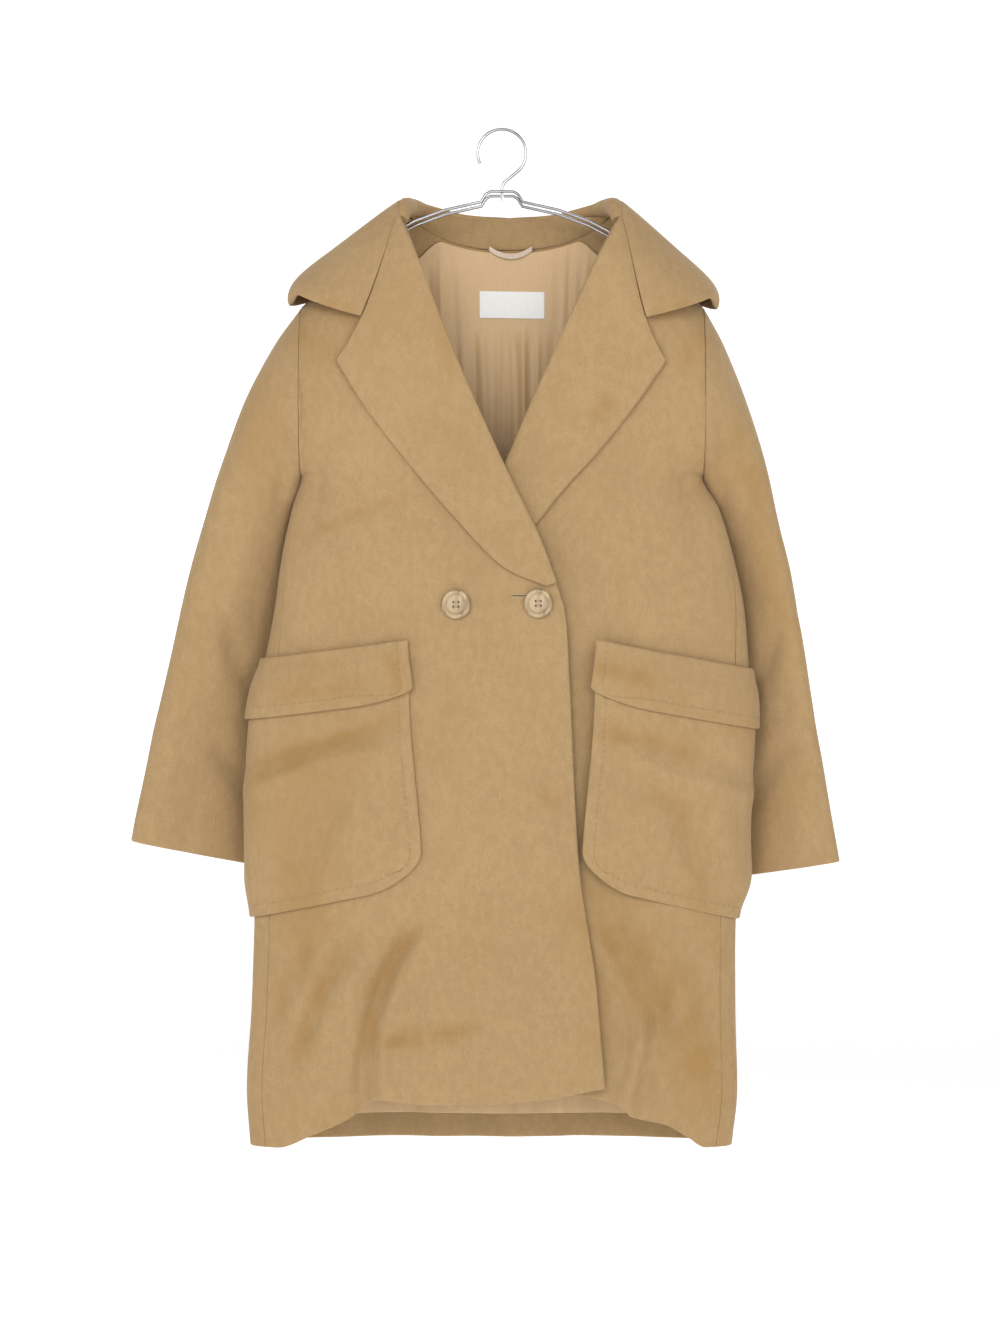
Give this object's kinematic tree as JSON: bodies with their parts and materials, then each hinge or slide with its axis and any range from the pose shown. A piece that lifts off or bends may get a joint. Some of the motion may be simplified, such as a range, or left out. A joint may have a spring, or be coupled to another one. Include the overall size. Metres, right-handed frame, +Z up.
{
  "type": "wool coat on a wire hanger",
  "caption": "Long camel wool coat with wide notched lapels and flapped patch pockets, buttoned and hanging open at neck, cuffs and hem on a twin-wire hanger.",
  "frame": {"origin": "inside crown of the hanger's hook, where a rail carries it", "axes": "+Z up, the coat's front faces -Y, the wearer's right side is at -X"},
  "size_m": [0.7532, 0.1536, 1.0791],
  "materials": {
    "camel_wool": "brushed wool with a soft nap",
    "tan_lining": "smooth woven lining",
    "cream_label": "woven, blank",
    "satin_tape": "satin",
    "horn_button": "mottled horn",
    "polished_wire": "polished wire"
  },
  "bodies": {
    "root": {"front_right": "camel_wool", "front_left": "camel_wool", "back": "camel_wool", "top_sleeve_right": "camel_wool", "under_sleeve_right": "camel_wool", "top_sleeve_left": "camel_wool", "under_sleeve_left": "camel_wool", "lapel_right": "camel_wool", "lapel_left": "camel_wool", "collar_fall": "camel_wool", "collar_stand": "camel_wool", "pocket_right": "camel_wool", "pocket_left": "camel_wool", "flap_right": "camel_wool", "flap_left": "camel_wool", "back_lining": "tan_lining", "neck_label": "cream_label", "hanging_loop": "satin_tape", "button_show": "horn_button", "button_fastened": "horn_button", "hanger_frame": "polished_wire", "hanger_crossbar": "polished_wire", "hanger_hook": "polished_wire"}
  },
  "joints": []
}
